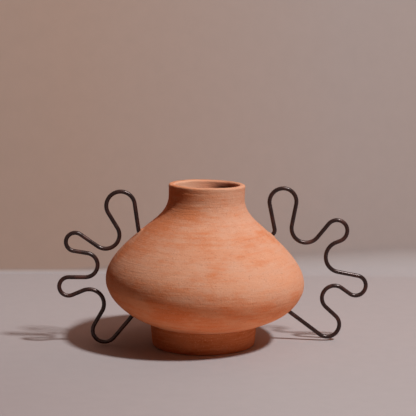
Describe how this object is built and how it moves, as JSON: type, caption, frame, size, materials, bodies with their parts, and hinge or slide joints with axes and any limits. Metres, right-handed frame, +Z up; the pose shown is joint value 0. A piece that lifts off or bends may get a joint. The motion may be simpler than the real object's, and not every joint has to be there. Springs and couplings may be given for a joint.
{
  "type": "two-handled vase",
  "caption": "Wide-bellied unglazed terracotta vase on a straight foot ring, with a short neck and a looping bent-wire handle set into each side",
  "frame": {"origin": "on the table under the vase, at the middle of the whole object's bounding box; the pot's own axis is 9.0 mm towards -X from it, because the right handle reaches further out", "axes": "+Z up along the pot's axis, +X to the right along the plane of the two wire handles, +Y to the back, away from the viewer of the picture"},
  "size_m": [0.3238, 0.205, 0.167],
  "materials": {
    "terracotta": "matte",
    "blackened_wire": "satin",
    "setting_paste": "matte"
  },
  "bodies": {
    "root": {"vessel_body": "terracotta", "foot_ring": "terracotta", "left_handle": "blackened_wire", "right_handle": "blackened_wire", "left_shoulder_setting": "setting_paste", "left_underside_setting": "setting_paste", "right_shoulder_setting": "setting_paste", "right_underside_setting": "setting_paste"}
  },
  "joints": []
}
